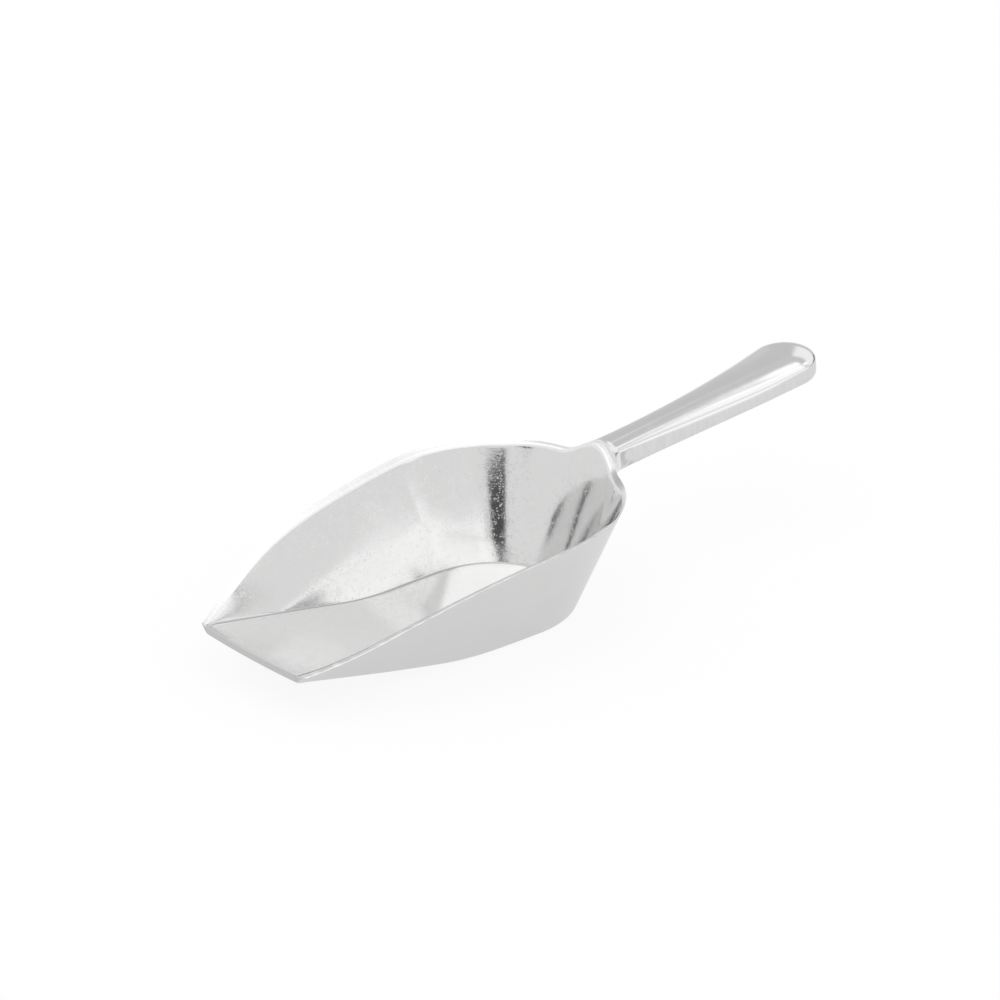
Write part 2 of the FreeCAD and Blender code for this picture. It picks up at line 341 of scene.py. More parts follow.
def lip_shape(point):
    """Bow the lip forward, round its corners and place the point in the scoop's frame."""
    x, y, z = point
    if x < LIP_CORNER:
        pull = LIP_CORNER - math.sqrt(max(LIP_CORNER ** 2 - (LIP_CORNER - x) ** 2, 0.0))
        y *= 1.0 - pull / LIP_HALF
    x += LIP_BOW * (y / LIP_HALF) ** 2 * max(0.0, 1.0 - x / LIP_FADE)
    return (x - HALF_LENGTH, y, z)


STATION_CROWDING = 1.6     # stations crowd towards the lip, where the outline turns fastest
FRONT_OUT, FRONT_NARROW, FRONT_SQUEEZE = 0.15, 0.993, 0.86


def tub_stations():
    """Where the sections stand along the half-outline."""
    near = [(step / SIDE_STEPS) ** STATION_CROWDING for step in range(SIDE_STEPS + 1)]
    back = [1.0 + step / BACK_STEPS for step in range(1, BACK_STEPS + 1)]
    return near + back


def front_edge(section):
    """The lip's own front: the first section squeezed to leave small rounds top and bottom."""
    squeezed = []
    for x, y, z in section:
        middle = underside(0.0) + FLOOR_THICK / 2
        squeezed.append((x - FRONT_OUT, y * FRONT_NARROW, middle + (z - middle) * FRONT_SQUEEZE))
    return squeezed


# The first dark value is a painted shadow line along the near rim's inner edge and the last is painted
# shade in the floor's crease; the rim's top, the lip's face and the torn metal are only darker.
RIM_SHADOW_DARK, RIM_DARK, LIP_DARK, TORN_DARK, CREASE_SHADE = 0.9, 0.3, 0.3, 0.6, 0.8
NEAR_RIM_ALONG, NEAR_RIM_ACROSS = (16.0, -24.0), (2.0, -2.0)
TORN_START, TORN_END = (-12.5, -15.0), (-26.0, -21.0)
RIM_PATCH, RIM_PATCHINESS = 1.7, 0.25


def make_bowl():
    """The whole tub, swept from the near lip corner round the back to the far one."""
    rows = []
    for side in (-1, 1):
        half = [tub_section(along, side) for along in tub_stations()]
        sections = [front_edge(half[0])] + half
        placed = [[lip_shape((x, side * y, z)) for x, y, z in section] for section in sections]
        rows += placed if side < 0 else placed[::-1][1:]
    run = travel(rows, RIM_ROW + 2)

    def shade_and_marks(place, index):
        """Painted shade in the floor's crease and a painted shadow line along the near rim's inner edge,
        with darker patches on that rim's top, a darker lip face and torn metal by the weld.
        """
        x, y, _ = rows[place][index]
        rim_shadow_and_marks = 0.0
        # the top of the near inner wall and its round take a painted shadow line; the rim's top gets only
        # darker patches
        if RIM_ROW - 1 <= index <= RIM_ROW:
            rim_shadow_and_marks = RIM_SHADOW_DARK
        elif RIM_ROW < index <= RIM_ROW + 4:
            rim_shadow_and_marks = RIM_DARK + wave((x, y, index), RIM_PATCH, RIM_PATCHINESS)
        rim_shadow_and_marks *= ease(*NEAR_RIM_ACROSS, y) * ease(*NEAR_RIM_ALONG, x)
        if place in (0, len(rows) - 1):
            rim_shadow_and_marks = LIP_DARK
        torn = 0.0
        if x > 0.0 and RIM_ROW <= index <= RIM_ROW + 4:
            torn = ease(*TORN_START, y) * ease(*TORN_END, y)
        # the three rows round the crease are painted shade: a darker colour standing in for the shade in
        # that corner
        return max(rim_shadow_and_marks, TORN_DARK * torn, CREASE_SHADE * (1.0 - abs(index - CREASE_ROW) / 2.0), 0.0)

    marks = {"ground": lambda place, index: float(RIM_ROW - 1 <= index <= RIM_ROW + 4),
             "corner": shade_and_marks,
             "travel": lambda place, index: run[place]}
    return grid_mesh("bowl_shell", rows,
                     lambda verts: front_faces(verts[0]) + front_faces(verts[-1]), marks)


def front_faces(row):
    """Close a lip end by joining its upper points to its lower points."""
    faces = []
    low, high = 0, len(row) - 1
    while high - low > 2:
        faces.append((row[low], row[low + 1], row[high - 1], row[high]))
        low, high = low + 1, high - 1
    if high - low == 2:
        faces.append((row[low], row[low + 1], row[high]))
    return faces


bowl = make_bowl()
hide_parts("bowl")
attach(bowl, "root")
print("bowl faces:", len(bowl.data.polygons), [round(v, 4) for v in bowl.dimensions])

# %% [markdown]
# ## The handle
#
# The bar is an oval that has been ground flat on its two sides, so each section is a crowned top,
# a shallow underside and upright flanks with a small edge where the grinding met the crown. The
# same half-section is carried up one side, round the end and back down the other.

# %% The handle's sections, in millimetres along its own climbing axis
HANDLE_PLACE, HANDLE_CLIMB = Vector((17.8, 0.0, 30.2)), math.radians(7.6)
HANDLE_AXIS = Vector((math.cos(HANDLE_CLIMB), 0.0, math.sin(HANDLE_CLIMB)))
HANDLE_UP = Vector((-math.sin(HANDLE_CLIMB), 0.0, math.cos(HANDLE_CLIMB)))
# distance along, half width, height of the ground side, thickness, belly and sag
HANDLE_SECTIONS = ((-6.4, 5.3, 7.0, 8.5, 0.6, 0.0),
                   (19.3, 5.6, 5.0, 8.2, 0.8, 0.55),
                   (42.9, 7.0, 3.8, 8.1, 1.0, 0.8),
                   (64.4, 8.9, 3.7, 8.0, 1.2, 0.65),
                   (80.4, 10.2, 4.6, 8.0, 1.2, 0.3))
WELD_TOE = 9.0
LOWER_EDGE, END_EDGE = 0.6, 2.3
CROWN_START = math.radians(5)
KEEL_STEPS, EDGE_STEPS, FLANK_STEPS, CROWN_STEPS = 8, 5, 4, 22
FLANK_TOP = KEEL_STEPS + EDGE_STEPS + 1 + FLANK_STEPS
BAR_STEPS, END_STEPS = 60, 36
TOE_DARK, TOE_WIDE, TOE_NEAREST, TOE_CURVE = 0.5, 1.2, 0.4, 2.8
TOE_MIDDLE, TOE_HALF = KEEL_STEPS + 7.5, 2.5


def section_at(along):
    """The five sizes of the handle's section, on smooth curves through the listed sections."""
    stations = [row[0] for row in HANDLE_SECTIONS]
    index = max(i for i in range(len(stations) - 1) if i == 0 or stations[i] <= along)
    span = stations[index + 1] - stations[index]
    t = (along - stations[index]) / span
    keep, arrive = 2 * t ** 3 - 3 * t ** 2 + 1, 3 * t ** 2 - 2 * t ** 3
    leave, close = t ** 3 - 2 * t ** 2 + t, t ** 3 - t ** 2
    sizes = []
    for column in range(1, 6):
        def slope(i):
            """The size's rate of change at a listed section."""
            low, high = max(i - 1, 0), min(i + 1, len(stations) - 1)
            rise = HANDLE_SECTIONS[high][column] - HANDLE_SECTIONS[low][column]
            return rise / (stations[high] - stations[low])
        start, finish = HANDLE_SECTIONS[index][column], HANDLE_SECTIONS[index + 1][column]
        bend = leave * slope(index) + close * slope(index + 1)
        sizes.append(keep * start + arrive * finish + span * bend)
    return sizes


def bar_profile(sizes, edge):
    """Half a section as (sideways, height) points, from the keel round the flank to the crown."""
    half, side, thick, belly, sag = sizes
    points = []
    for step in range(KEEL_STEPS):
        across = (half - edge) * step / KEEL_STEPS
        points.append((across, -sag - belly * (1.0 - (step / KEEL_STEPS) ** 2)))
    for step in range(EDGE_STEPS + 1):
        angle = math.radians(90 * step / EDGE_STEPS)
        points.append((half - edge + edge * math.sin(angle), edge - sag - edge * math.cos(angle)))
    for step in range(1, FLANK_STEPS + 1):
        height = edge + (side - edge) * step / FLANK_STEPS
        points.append((half, height - sag))
    for step in range(1, CROWN_STEPS + 1):
        angle = CROWN_START + (math.pi / 2 - CROWN_START) * step / CROWN_STEPS
        across = half * math.cos(angle) / math.cos(CROWN_START)
        rise = (math.sin(angle) - math.sin(CROWN_START)) / (1.0 - math.sin(CROWN_START))
        points.append((across, side + (thick - side) * rise - sag))
    return points


def on_handle(along, across, height):
    """A point given in the handle's own axes, placed in the scoop's frame."""
    return HANDLE_PLACE + HANDLE_AXIS * along + HANDLE_UP * height + Vector((0.0, across, 0.0))


def make_handle():
    """The bar from the weld's toe, round its end and back, open towards the weld until it is capped."""
    last = HANDLE_SECTIONS[-1][0]
    stations = [WELD_TOE + (last - WELD_TOE) * step / BAR_STEPS for step in range(BAR_STEPS + 1)]
    near = []
    for along in stations:
        profile = bar_profile(section_at(along), LOWER_EDGE)
        near.append([on_handle(along, -across, height) for across, height in profile])
    end = []
    for step in range(1, END_STEPS):
        turn = math.pi * step / END_STEPS
        edge = LOWER_EDGE + (END_EDGE - LOWER_EDGE) * math.sin(turn) ** 2
        profile = bar_profile(section_at(last), edge)
        end.append([on_handle(last + across * math.sin(turn), -across * math.cos(turn), height)
                    for across, height in profile])
    far = [[Vector((point.x, -point.y, point.z)) for point in row] for row in near[::-1]]
    rows = near + end + far
    run = travel(rows, KEEL_STEPS + 7)

    def toe_mark(place, index):
        """A rounded grey outline where the ground side was stopped at the weld."""
        from_end = min(place, len(rows) - 1 - place)
        if not KEEL_STEPS + 2 <= index <= FLANK_TOP:
            return 0.0
        bulge = TOE_NEAREST + TOE_CURVE * ((index - TOE_MIDDLE) / TOE_HALF) ** 2
        return TOE_DARK * max(0.0, 1.0 - abs(from_end - bulge) / TOE_WIDE)

    marks = {"ground": lambda place, index: float(KEEL_STEPS <= index < FLANK_TOP),
             "corner": toe_mark,
             "travel": lambda place, index: run[place]}
    return grid_mesh("handle_bar", rows, lambda verts: [verts[0] + verts[-1][::-1]], marks)


handle = make_handle()
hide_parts("handle")
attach(handle, "root")
print("handle faces:", len(handle.data.polygons), [round(v, 4) for v in handle.dimensions])

# %% [markdown]
# ## The weld at the root
#
# Filler metal was run round the joint and then partly dressed, so the rim widens and rolls up on
# to the handle's top like the mouth of a trumpet. Each strand of the surface leaves the rim or the
# wall's outer face and arrives along the handle, which gives the fillet its hollow curve.

# %% The weld
WELD_LOW, WELD_STEPS = 27.5, 18
WELD_OVERLAP = 0.3         # how far the weld's edge starts inside the metal that it joins
FOOT_MARGIN, TOP_DROP = 1.0, 0.3
WALL_LEAVE, WALL_MIDDLE, WALL_REACH, WALL_INWARD = 4.0, 34.0, 9.0, 0.25
CREST_LEAVE, CREST_LIFT, CREST_FALL, TOE_ARRIVE = 5.0, 2.2, 2.0, 7.0
RING_SHARES, RING_HEIGHT, RING_DEEP = (0.0, 0.25, 0.5, 0.75), 33.0, 0.5
BIG_LUMP, SMALL_LUMP, LUMP_SIDEWAYS = (3.4, 0.3), (1.3, 0.12), 0.6
BEAD_FADE = (0.5, 0.95)


def rim_crest(y):
    """The bell's inner edge at a sideways place, as a point in the scoop's frame."""
    low, high = 1.0, 2.0
    for _ in range(HALVINGS):
        along = (low + high) / 2
        height = settle(along, True, rim_height)
        if wall_point(along, height, True)[1] > abs(y):
            low = along
        else:
            high = along
    height = settle(low, True, rim_height) + bell(FLOOR["widest"], y)
    x = wall_point(low, height, True)[0]
    return Vector((x + WELD_OVERLAP - HALF_LENGTH, y, height))


def wall_outside(y, height):
    """A point just inside the back wall's outer face."""
    low, high = 1.0, 2.0
    for _ in range(HALVINGS):
        along = (low + high) / 2
        if wall_point(along, height, False)[1] > abs(y):
            low = along
        else:
            high = along
    return Vector((wall_point(low, height, False)[0] - WELD_OVERLAP - HALF_LENGTH, y, height))


def weld_strands(side):
    """Where each strand starts, with the way it sets off, from the keel to the crown."""
    foot = BELL_NEAR - BELL_MIDDLE - FOOT_MARGIN if side < 0 else BELL_FAR + BELL_MIDDLE - FOOT_MARGIN
    top = rim_crest(side * foot).z - TOP_DROP
    starts = []
    for step in range(FLANK_TOP):
        angle = math.pi / 2 * step / (FLANK_TOP - 1)
        y = side * foot * math.sin(angle)
        height = top - (top - WELD_LOW) * math.cos(angle)
        point = wall_outside(y, height)
        inward = Vector((WALL_INWARD, -y / foot, (WALL_MIDDLE - height) / WALL_REACH))
        starts.append((point, inward * WALL_LEAVE))
    for step in range(1, CROWN_STEPS + 1):
        y = side * foot * (1.0 - step / CROWN_STEPS)
        lean = abs(y) / foot
        leave = Vector((CREST_LEAVE, -side * CREST_LEAVE * lean, CREST_LIFT - CREST_FALL * lean))
        starts.append((rim_crest(y), leave))
    return starts


def root_rings(edge):
    """Rings that close the root inside the wall's own thickness, from its middle outwards."""
    rings = []
    for share in RING_SHARES:
        ring = []
        for point in edge:
            y = BELL_MIDDLE + (point.y - BELL_MIDDLE) * share
            z = RING_HEIGHT + (point.z - RING_HEIGHT) * share
            ring.append(wall_outside(y, z) - Vector((RING_DEEP, 0.0, 0.0)))
        rings.append(ring)
    return rings


def weld_strand(start, leave, finish, side):
    """One hollow curve from the bowl to the handle, with the bead's lumps in its middle."""
    arrive = HANDLE_AXIS * TOE_ARRIVE
    strand = []
    for step in range(WELD_STEPS + 1):
        t = step / WELD_STEPS
        point = (start * (2 * t ** 3 - 3 * t ** 2 + 1) + finish * (3 * t ** 2 - 2 * t ** 3)
                 + leave * (t ** 3 - 2 * t ** 2 + t) + arrive * (t ** 3 - t ** 2))
        lump = math.sin(math.pi * t) * (wave(point, *BIG_LUMP) + wave(point, *SMALL_LUMP))
        strand.append(point + Vector((0.0, side * lump * LUMP_SIDEWAYS, lump)))
    return strand


def make_weld():
    """The fillet: strands side by side all the way round, closed inside the wall and at the toe."""
    profile = bar_profile(section_at(WELD_TOE), LOWER_EDGE)
    columns = []
    for side in (-1, 1):
        strands = [weld_strand(start, leave, on_handle(WELD_TOE, side * across, height), side)
                   for (start, leave), (across, height) in zip(weld_strands(side), profile)]
        columns += strands if side < 0 else strands[::-1][1:-1]
    rows = [[column[step] for column in columns] for step in range(WELD_STEPS + 1)]
    rows = root_rings(rows[0]) + rows
    rows = [row + row[:1] for row in rows]
    crown = range(FLANK_TOP, len(columns) - FLANK_TOP + 1)

    def bead(place, index):
        """1 where the weld is left rough, fading to the handle's polish along the crown."""
        t = (place - len(RING_SHARES)) / WELD_STEPS
        return 1.0 - ease(*BEAD_FADE, t) if index in crown else 1.0

    marks = {"ground": bead,
             "corner": lambda place, index: 0.0,
             "travel": lambda place, index: 0.0}
    return grid_mesh("root_fillet", rows, lambda verts: [verts[-1][:-1]], marks)


weld = make_weld()
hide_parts("root_weld")
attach(weld, "root")
print("weld faces:", len(weld.data.polygons), [round(v, 4) for v in weld.dimensions])

# %% [markdown]
# ## Wiring helpers
#
# A material is a small network. These helpers add one node, or one sum, and join it up, so the
# cells below read as a list of what happens to the surface.

# %% Helpers for node trees


def add(tree, kind, inputs=None, **settings):
    """Add a node, set its options, and join or fill its inputs."""
    node = tree.nodes.new(kind)
    for name, value in settings.items():
        setattr(node, name, value)
    for name, value in (inputs or {}).items():
        if isinstance(value, bpy.types.NodeSocket):
            tree.links.new(value, node.inputs[name])
        else:
            node.inputs[name].default_value = value
    return node


def calc(tree, operation, *values, clamp=False):
    """One sum on numbers or sockets."""
    node = add(tree, "ShaderNodeMath", dict(enumerate(values)), operation=operation, use_clamp=clamp)
    return node.outputs[0]


def ramp_between(tree, value, low, high):
    """0 below low, 1 above high and a smooth change between."""
    node = add(tree, "ShaderNodeMapRange", {"Value": value, "From Min": low, "From Max": high},
               interpolation_type="SMOOTHSTEP")
    return node.outputs["Result"]


def new_group(name, inputs, outputs):
    """A shader node group with its named sockets, and its two end nodes."""
    group = bpy.data.node_groups.new(name, "ShaderNodeTree")
    for label, (kind, value) in inputs.items():
        socket = group.interface.new_socket(label, in_out="INPUT", socket_type=f"NodeSocket{kind}")
        if value is not None:
            socket.default_value = value
    for label in outputs:
        group.interface.new_socket(label, in_out="OUTPUT", socket_type="NodeSocketFloat")
    return group, group.nodes.new("NodeGroupInput").outputs, group.nodes.new("NodeGroupOutput").inputs


def use_group(tree, group, **inputs):
    """Place a group in a material with its own values."""
    node = add(tree, "ShaderNodeGroup", node_tree=group)
    for name, value in inputs.items():
        if isinstance(value, bpy.types.NodeSocket):
            tree.links.new(value, node.inputs[name])
        else:
            node.inputs[name].default_value = value
    return node.outputs


# %% [markdown]
# ## Studio light
#
# Polished metal shows its surroundings, so the studio is drawn as soft panels on the sky: a bright
# ceiling, a bright strip low in front, a grey gap on the right that darkens the handle's top, and
# a dark stand beside the camera, which gives the bowl its dark streaks. Lamps would light the metal
# too, but a panel's edges can be placed exactly. Each panel has a bearing, half width, lowest and
# highest angle, softness, lean and brightness, and is laid over those before it in the list.

# %% Studio panels on the sky
LEAN_PIVOT = 22.0          # the height at which a leaning panel stands on its own bearing
SEEN_SKY = 0.97            # brightness of the background itself, which has no panels on it


def panel_group():
    """A node group that lays one soft-edged panel over the brightness behind it."""
    group, given, made = new_group(
        "studio_panel",
        {"Behind": ("Float", 0.0), "Bearing": ("Float", 0.0), "Height": ("Float", 0.0),
         "Middle": ("Float", 0.0), "Half Width": ("Float", 20.0), "Low": ("Float", 0.0),
         "High": ("Float", 90.0), "Softness": ("Float", 3.0), "Lean": ("Float", 0.0),
         "Level": ("Float", 1.0)},
        ["Level"])
    upright = calc(group, "SUBTRACT", given["Height"], LEAN_PIVOT)
    middle = calc(group, "MULTIPLY_ADD", upright, given["Lean"], given["Middle"])
    turned = calc(group, "SUBTRACT", given["Bearing"], middle)
    turned = calc(group, "ABSOLUTE", calc(group, "WRAP", turned, 180.0, -180.0))
    soft = given["Softness"]
    aside = ramp_between(group, turned, calc(group, "SUBTRACT", given["Half Width"], soft),
                         calc(group, "ADD", given["Half Width"], soft))
    above = ramp_between(group, given["Height"], calc(group, "SUBTRACT", given["Low"], soft),
                         calc(group, "ADD", given["Low"], soft))
    over = ramp_between(group, given["Height"], calc(group, "SUBTRACT", given["High"], soft),
                        calc(group, "ADD", given["High"], soft))
    inside = calc(group, "MULTIPLY", above, calc(group, "SUBTRACT", 1.0, over))
    inside = calc(group, "MULTIPLY", inside, calc(group, "SUBTRACT", 1.0, aside))
    step = calc(group, "SUBTRACT", given["Level"], given["Behind"])
    group.links.new(calc(group, "MULTIPLY_ADD", step, inside, given["Behind"]), made["Level"])
    return group


# bearing of the middle, half width, lowest, highest, softness, lean and brightness
PANELS = {
    "room": (0.0, 200.0, -95.0, 95.0, 1.0, 0.0, 0.84),
    "front_table": (271.0, 33.0, -2.0, 22.0, 1.2, 0.0, 1.1),
    "side_table": (312.0, 12.0, -2.0, 18.3, 1.2, 0.0, 1.1),
    "ceiling": (188.0, 136.0, 53.0, 95.0, 4.0, 0.0, 1.45),
    "ceiling_edge": (200.0, 50.0, 46.0, 60.0, 2.0, 0.0, 1.4),
    "right_gap": (11.0, 47.0, -10.0, 95.0, 4.0, 0.0, 0.61),
    "zenith": (0.0, 200.0, 65.5, 95.0, 1.5, 0.0, 1.35),
    "right_ceiling": (62.0, 19.0, 57.0, 95.0, 1.5, 0.0, 1.4),
    "gap_edge": (334.0, 13.0, 55.0, 66.5, 2.0, 0.0, 0.9),
    "right_panel": (5.0, 36.0, 16.0, 49.0, 2.5, 0.0, 1.0),
    "right_glow": (343.0, 13.0, 44.0, 56.5, 1.5, 0.0, 1.17),
    "front_panel": (304.0, 11.0, 38.0, 62.0, 3.0, 0.0, 1.15),
    "front_low": (297.0, 7.0, 30.0, 41.0, 2.0, 0.0, 1.1),
    "camera_stand": (219.0, 9.5, 10.0, 24.8, 1.0, -0.8, 0.08),
    "lamp_stand": (187.0, 4.0, 22.0, 37.0, 1.5, 0.3, 0.03),
    "lamp_head": (167.0, 5.5, 43.0, 52.0, 1.5, 0.0, 0.1),
    "right_foot": (8.0, 14.0, -2.0, 11.0, 1.5, 0.0, 0.05),
}


def make_world():
    """The sky, as the panels one after another."""
    world = bpy.data.worlds.new("studio")
    bpy.context.scene.world = world
    world.use_nodes = True
    tree = world.node_tree
    ray = add(tree, "ShaderNodeTexCoord").outputs["Generated"]
    ray = add(tree, "ShaderNodeSeparateXYZ", {"Vector": ray}).outputs
    to_degrees = 180.0 / math.pi
    bearing = calc(tree, "MULTIPLY", calc(tree, "ARCTAN2", ray["Y"], ray["X"]), to_degrees)
    height = calc(tree, "MULTIPLY", calc(tree, "ARCSINE", ray["Z"]), to_degrees)
    group = panel_group()
    level = 0.0
    for middle, half, low, high, soft, lean, bright in PANELS.values():
        node = use_group(tree, group, Behind=level, Bearing=bearing, Height=height, Middle=middle,
                         Low=low, High=high, Softness=soft, Lean=lean, Level=bright,
                         **{"Half Width": half})
        level = node["Level"]
    seen = add(tree, "ShaderNodeLightPath").outputs["Is Camera Ray"]
    level = calc(tree, "MULTIPLY_ADD", seen, calc(tree, "SUBTRACT", SEEN_SKY, level), level)
    tree.links.new(level, tree.nodes["Background"].inputs["Strength"])
    tree.nodes["Background"].inputs["Color"].default_value = (1.0, 1.0, 1.0, 1.0)
    print("studio panels:", list(PANELS))


make_world()
bpy.context.scene.view_settings.view_transform = "Standard"

# %% A pale table
TABLE_SIZE = 12.0
TABLE_TONE, TABLE_ROUGH = 0.8, 0.9
GLOW, GLOW_SEEN = 0.83, 0.2          # brightness of the glow, and what the camera sees on top
GLOW_SHARE, GLOW_SHARE_SEEN = 0.7, 0.15


def make_table():
    """A matt table mixed with a glow, so that it stays pale and still takes a faint shadow."""
    bpy.ops.mesh.primitive_plane_add(size=TABLE_SIZE, location=(0, 0, 0))
    table = bpy.context.active_object
    table.name = "table"
    made = bpy.data.materials.new("pale_table")
    made.use_nodes = True
    tree = made.node_tree
    matt = tree.nodes["Principled BSDF"]
    matt.inputs["Base Color"].default_value = (TABLE_TONE, TABLE_TONE, TABLE_TONE, 1.0)
    matt.inputs["Roughness"].default_value = TABLE_ROUGH
    seen = add(tree, "ShaderNodeLightPath").outputs["Is Camera Ray"]
    strength = calc(tree, "MULTIPLY_ADD", seen, GLOW_SEEN, GLOW)
    glow = add(tree, "ShaderNodeEmission", {"Color": (1.0, 1.0, 1.0, 1.0), "Strength": strength})
    share = calc(tree, "MULTIPLY_ADD", seen, GLOW_SHARE_SEEN, GLOW_SHARE)
    both = add(tree, "ShaderNodeMixShader", {"Fac": share})
    tree.links.new(matt.outputs[0], both.inputs[1])
    tree.links.new(glow.outputs[0], both.inputs[2])
    tree.links.new(both.outputs[0], tree.nodes["Material Output"].inputs["Surface"])
    table.data.materials.append(made)


make_table()
print("table:", TABLE_SIZE, "m square")

# %% [markdown]
# ## Surface effects
#
# Tumbling in a drum of small stones leaves the metal bright but very slightly pebbled, with small
# irregular dents in patches. Use adds hairline scratches and tiny pits, and a belt leaves short
# parallel lines on ground places. Each effect is a group, so that every finish below can have more
# or less of it.

# %% Effect groups
FINE_GRAIN, SLOW_GRAIN, PEEN_GRAIN, PEEN_PATCH = 0.7, 7.0, 0.55, 1.9     # sizes in millimetres
SLOW_WEIGHT, PEEN_EDGE, PEEN_CHOICE = 3.0, (0.08, 0.45), (-0.25, 0.35)
LINE_GAP, LINE_SQUEEZE, LINE_WIDTH = 1.6, 0.05, 0.05
LINE_PATCH, LINE_CHOICE = 9.0, (0.15, 0.5)
SPECK_CELLS, SPECK_CORE, SPECK_CHOICE = 600.0, 0.02, (0.85, 1.0)
MARK_RISE, MARK_DETAIL, MARK_ROUGHNESS = 180.0, 3.0, 0.65


def noise_of(tree, where, size_mm, detail=2.0, roughness=0.5):
    """Noise with features of about a size in millimetres, from -1 to 1."""
    node = add(tree, "ShaderNodeTexNoise",
               {"Vector": where, "Scale": 1000.0 / size_mm, "Detail": detail, "Roughness": roughness})
    return calc(tree, "MULTIPLY_ADD", node.outputs[0], 2.0, -1.0)


def grain_group():
    """The drum's work: a fine pebbling, a slow cloudiness and scattered small dents."""
    group, given, made = new_group("tumbled_grain", {"Where": ("Vector", None)},
                                   ["Height", "Cloud", "Peen"])
    fine = noise_of(group, given["Where"], FINE_GRAIN, 3.0, 0.7)
    slow = noise_of(group, given["Where"], SLOW_GRAIN, 1.0)
    group.links.new(calc(group, "MULTIPLY_ADD", slow, SLOW_WEIGHT, fine), made["Height"])
    group.links.new(slow, made["Cloud"])
    dent = ramp_between(group, noise_of(group, given["Where"], PEEN_GRAIN, 3.0, 0.75), *PEEN_EDGE)
    chosen = ramp_between(group, noise_of(group, given["Where"], PEEN_PATCH, 1.0), *PEEN_CHOICE)
    group.links.new(calc(group, "MULTIPLY", dent, chosen), made["Peen"])
    return group


def scratch_group():
    """Long thin lines: noise squeezed across one direction and kept only where it crosses zero."""
    group, given, made = new_group("hairlines", {"Where": ("Vector", None), "Turn": ("Vector", None)},
                                   ["Lines"])
    turned = add(group, "ShaderNodeMapping", {"Vector": given["Where"], "Rotation": given["Turn"],
                                              "Scale": (1.0, LINE_SQUEEZE, 1.0)}).outputs[0]
    line = calc(group, "ABSOLUTE", noise_of(group, turned, LINE_GAP, 0.0))
    thin = calc(group, "SUBTRACT", 1.0, ramp_between(group, line, 0.0, LINE_WIDTH))
    patch = ramp_between(group, noise_of(group, given["Where"], LINE_PATCH, 1.0), *LINE_CHOICE)
    group.links.new(calc(group, "MULTIPLY", thin, patch), made["Lines"])
    return group


def speck_group():
    """Tiny pits: the middles of a few cells, chosen by each cell's own colour."""
    group, given, made = new_group("specks", {"Where": ("Vector", None), "Size": ("Float", 0.2)}, ["Pits"])
    cells = add(group, "ShaderNodeTexVoronoi", {"Vector": given["Where"], "Scale": SPECK_CELLS})
    away = ramp_between(group, cells.outputs["Distance"], SPECK_CORE, given["Size"])
    near = calc(group, "SUBTRACT", 1.0, away)
    chosen = add(group, "ShaderNodeSeparateColor", {"Color": cells.outputs["Color"]}).outputs["Red"]
    chosen = ramp_between(group, chosen, *SPECK_CHOICE)
    group.links.new(calc(group, "MULTIPLY", near, chosen), made["Pits"])
    return group


def grind_group():
    """Belt marks: short lines across the way that the belt was moved along."""
    group, given, made = new_group("belt_marks", {"Travel": ("Float", 0.0), "Where": ("Vector", None),
                                                 "Spacing": ("Float", 0.6)}, ["Marks"])
    step = calc(group, "DIVIDE", given["Travel"], given["Spacing"])
    height = add(group, "ShaderNodeSeparateXYZ", {"Vector": given["Where"]}).outputs["Z"]
    rise = calc(group, "MULTIPLY", height, MARK_RISE)
    line = add(group, "ShaderNodeCombineXYZ", {"X": step, "Y": rise}).outputs[0]
    marks = add(group, "ShaderNodeTexNoise", {"Vector": line, "Scale": 1.0, "Detail": MARK_DETAIL,
                                              "Roughness": MARK_ROUGHNESS}).outputs[0]
    group.links.new(calc(group, "MULTIPLY_ADD", marks, 2.0, -1.0), made["Marks"])
    return group


GRAIN, HAIRLINES, SPECKS, BELT = grain_group(), scratch_group(), speck_group(), grind_group()
print("effects:", [group.name for group in (GRAIN, HAIRLINES, SPECKS, BELT)])

# %% [markdown]
# ## Metal finishes
#
# All three pieces are the same aluminium in different states, so one function makes each finish:
# tumbled metal everywhere, ground metal where the mesh is marked as ground, and a thin dark line
# where it is marked as a corner: painted shade in the tub's crease, a painted shadow line along its
# near rim and darker marks elsewhere.

# %% Metals
GROUND_EDGE, SPECK_SIZE = (0.35, 0.65), 0.16
HAIRLINE_TURNS = ((0.3, 0.2, 0.5), (0.1, 0.9, -0.9))
# the corner darkening draws painted shade in the tub's crease and a painted shadow line along its near rim
CLOUD_TONE, BELT_TONE, CORNER_DARK = 0.012, 0.09, 0.7
GREEN_SHARE, BLUE_SHARE = 0.997, 0.995
HAIRLINE_DULL, CLOUD_DULL, PIT_DEEP = 0.06, 0.015, 0.01


def marks_on(tree, spacing):
    """Every effect and mesh mark that a finish uses, as named sockets."""
    where = add(tree, "ShaderNodeTexCoord").outputs["Object"]
    found = {word: add(tree, "ShaderNodeAttribute", attribute_name=word).outputs["Fac"]
             for word in ("ground", "corner", "travel")}
    found["ground"] = ramp_between(tree, found["ground"], *GROUND_EDGE)
    pebble = use_group(tree, GRAIN, Where=where)
    found.update(pebble=pebble["Height"], cloud=pebble["Cloud"], peen=pebble["Peen"])
    lines = [use_group(tree, HAIRLINES, Where=where, Turn=turn)["Lines"] for turn in HAIRLINE_TURNS]
    found["lines"] = calc(tree, "ADD", *lines)
    found["pit"] = use_group(tree, SPECKS, Where=where, Size=SPECK_SIZE)["Pits"]
    found["belt"] = use_group(tree, BELT, Travel=found["travel"], Where=where, Spacing=spacing)["Marks"]
    return found


def where_ground(tree, found, ground_value, value):
    """The ground value where the mesh is marked as ground, and the other value elsewhere."""
    return calc(tree, "MULTIPLY_ADD", found["ground"], calc(tree, "SUBTRACT", ground_value, value), value)


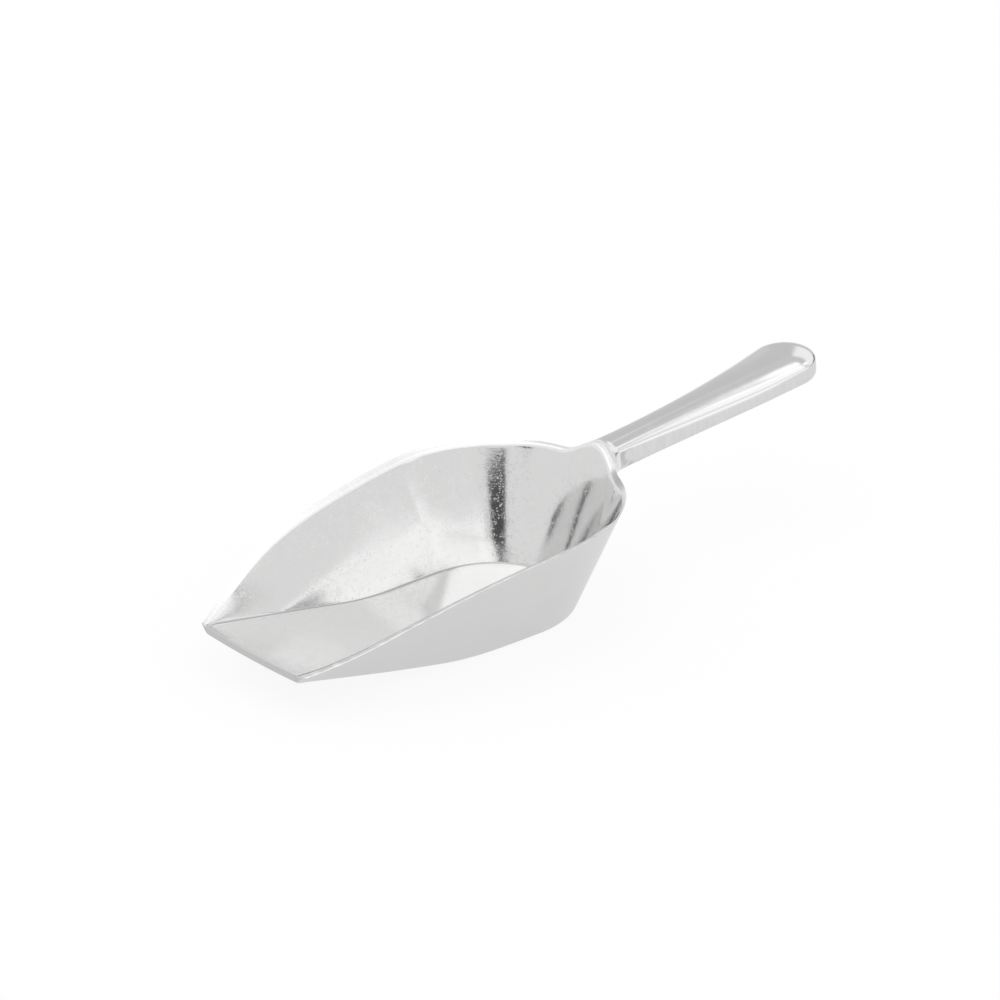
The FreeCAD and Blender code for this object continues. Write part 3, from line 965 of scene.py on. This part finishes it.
def tone_of(tree, found, tone, pits, ground_tone):
    """The metal's colour, almost neutral, darker in pits and corners."""
    bright = calc(tree, "MULTIPLY_ADD", found["pit"], -pits, tone)
    bright = calc(tree, "MULTIPLY_ADD", found["cloud"], CLOUD_TONE, bright)
    edge = calc(tree, "MULTIPLY_ADD", found["belt"], BELT_TONE, ground_tone)
    bright = where_ground(tree, found, edge, bright)
    # marked corners are drawn darker: painted shade in the tub's crease, a painted shadow line on its near
    # rim
    clean = calc(tree, "MULTIPLY_ADD", found["corner"], -CORNER_DARK, 1.0)
    bright = calc(tree, "MULTIPLY", bright, clean, clamp=True)
    green = calc(tree, "MULTIPLY", bright, GREEN_SHARE)
    blue = calc(tree, "MULTIPLY", bright, BLUE_SHARE)
    return add(tree, "ShaderNodeCombineColor", {"Red": bright, "Green": green, "Blue": blue}).outputs[0]


def dullness_of(tree, found, polish, ground_polish):
    """Roughness: a little more in hairlines, and much more where the metal is ground."""
    rough = calc(tree, "MULTIPLY_ADD", found["lines"], HAIRLINE_DULL, polish)
    rough = calc(tree, "MULTIPLY_ADD", found["cloud"], CLOUD_DULL, rough)
    return where_ground(tree, found, ground_polish, rough)


def relief_of(tree, found, grain, peen, scratch, marks_deep):
    """The fine relief, in millimetres."""
    height = calc(tree, "MULTIPLY", found["pebble"], grain)
    height = calc(tree, "MULTIPLY_ADD", found["peen"], -peen, height)
    height = calc(tree, "MULTIPLY_ADD", found["lines"], -scratch, height)
    height = calc(tree, "MULTIPLY_ADD", found["pit"], -PIT_DEEP, height)
    return where_ground(tree, found, calc(tree, "MULTIPLY", found["belt"], marks_deep), height)


def metal(name, tone, polish, grain, peen, scratch, pits, ground_tone, ground_polish, marks_deep, spacing):
    """Bare aluminium in one state of finish."""
    made = bpy.data.materials.new(name)
    made.use_nodes = True
    tree = made.node_tree
    shader = tree.nodes["Principled BSDF"]
    shader.inputs["Metallic"].default_value = 1.0
    found = marks_on(tree, spacing)
    tree.links.new(tone_of(tree, found, tone, pits, ground_tone), shader.inputs["Base Color"])
    tree.links.new(dullness_of(tree, found, polish, ground_polish), shader.inputs["Roughness"])
    height = relief_of(tree, found, grain, peen, scratch, marks_deep)
    bump = add(tree, "ShaderNodeBump", {"Height": height, "Strength": 1.0, "Distance": MM})
    tree.links.new(bump.outputs["Normal"], shader.inputs["Normal"])
    return made


# %% One finish for each piece
FINISHES = {
    "tumbled_bowl": dict(tone=0.80, polish=0.09, grain=0.006, peen=0.02, scratch=0.006, pits=0.25,
                         ground_tone=0.93, ground_polish=0.42, marks_deep=0.008, spacing=0.8),
    "polished_handle": dict(tone=0.84, polish=0.14, grain=0.003, peen=0.005, scratch=0.003, pits=0.05,
                            ground_tone=0.80, ground_polish=0.34, marks_deep=0.04, spacing=1.1),
    "weld_bead": dict(tone=0.84, polish=0.14, grain=0.006, peen=0.008, scratch=0.001, pits=0.2,
                      ground_tone=0.97, ground_polish=0.45, marks_deep=0.01, spacing=0.8),
}
for piece, (name, values) in zip((bowl, handle, weld), FINISHES.items()):
    piece.data.materials.append(metal(name, **values))
    print(piece.name, "is finished as", name)
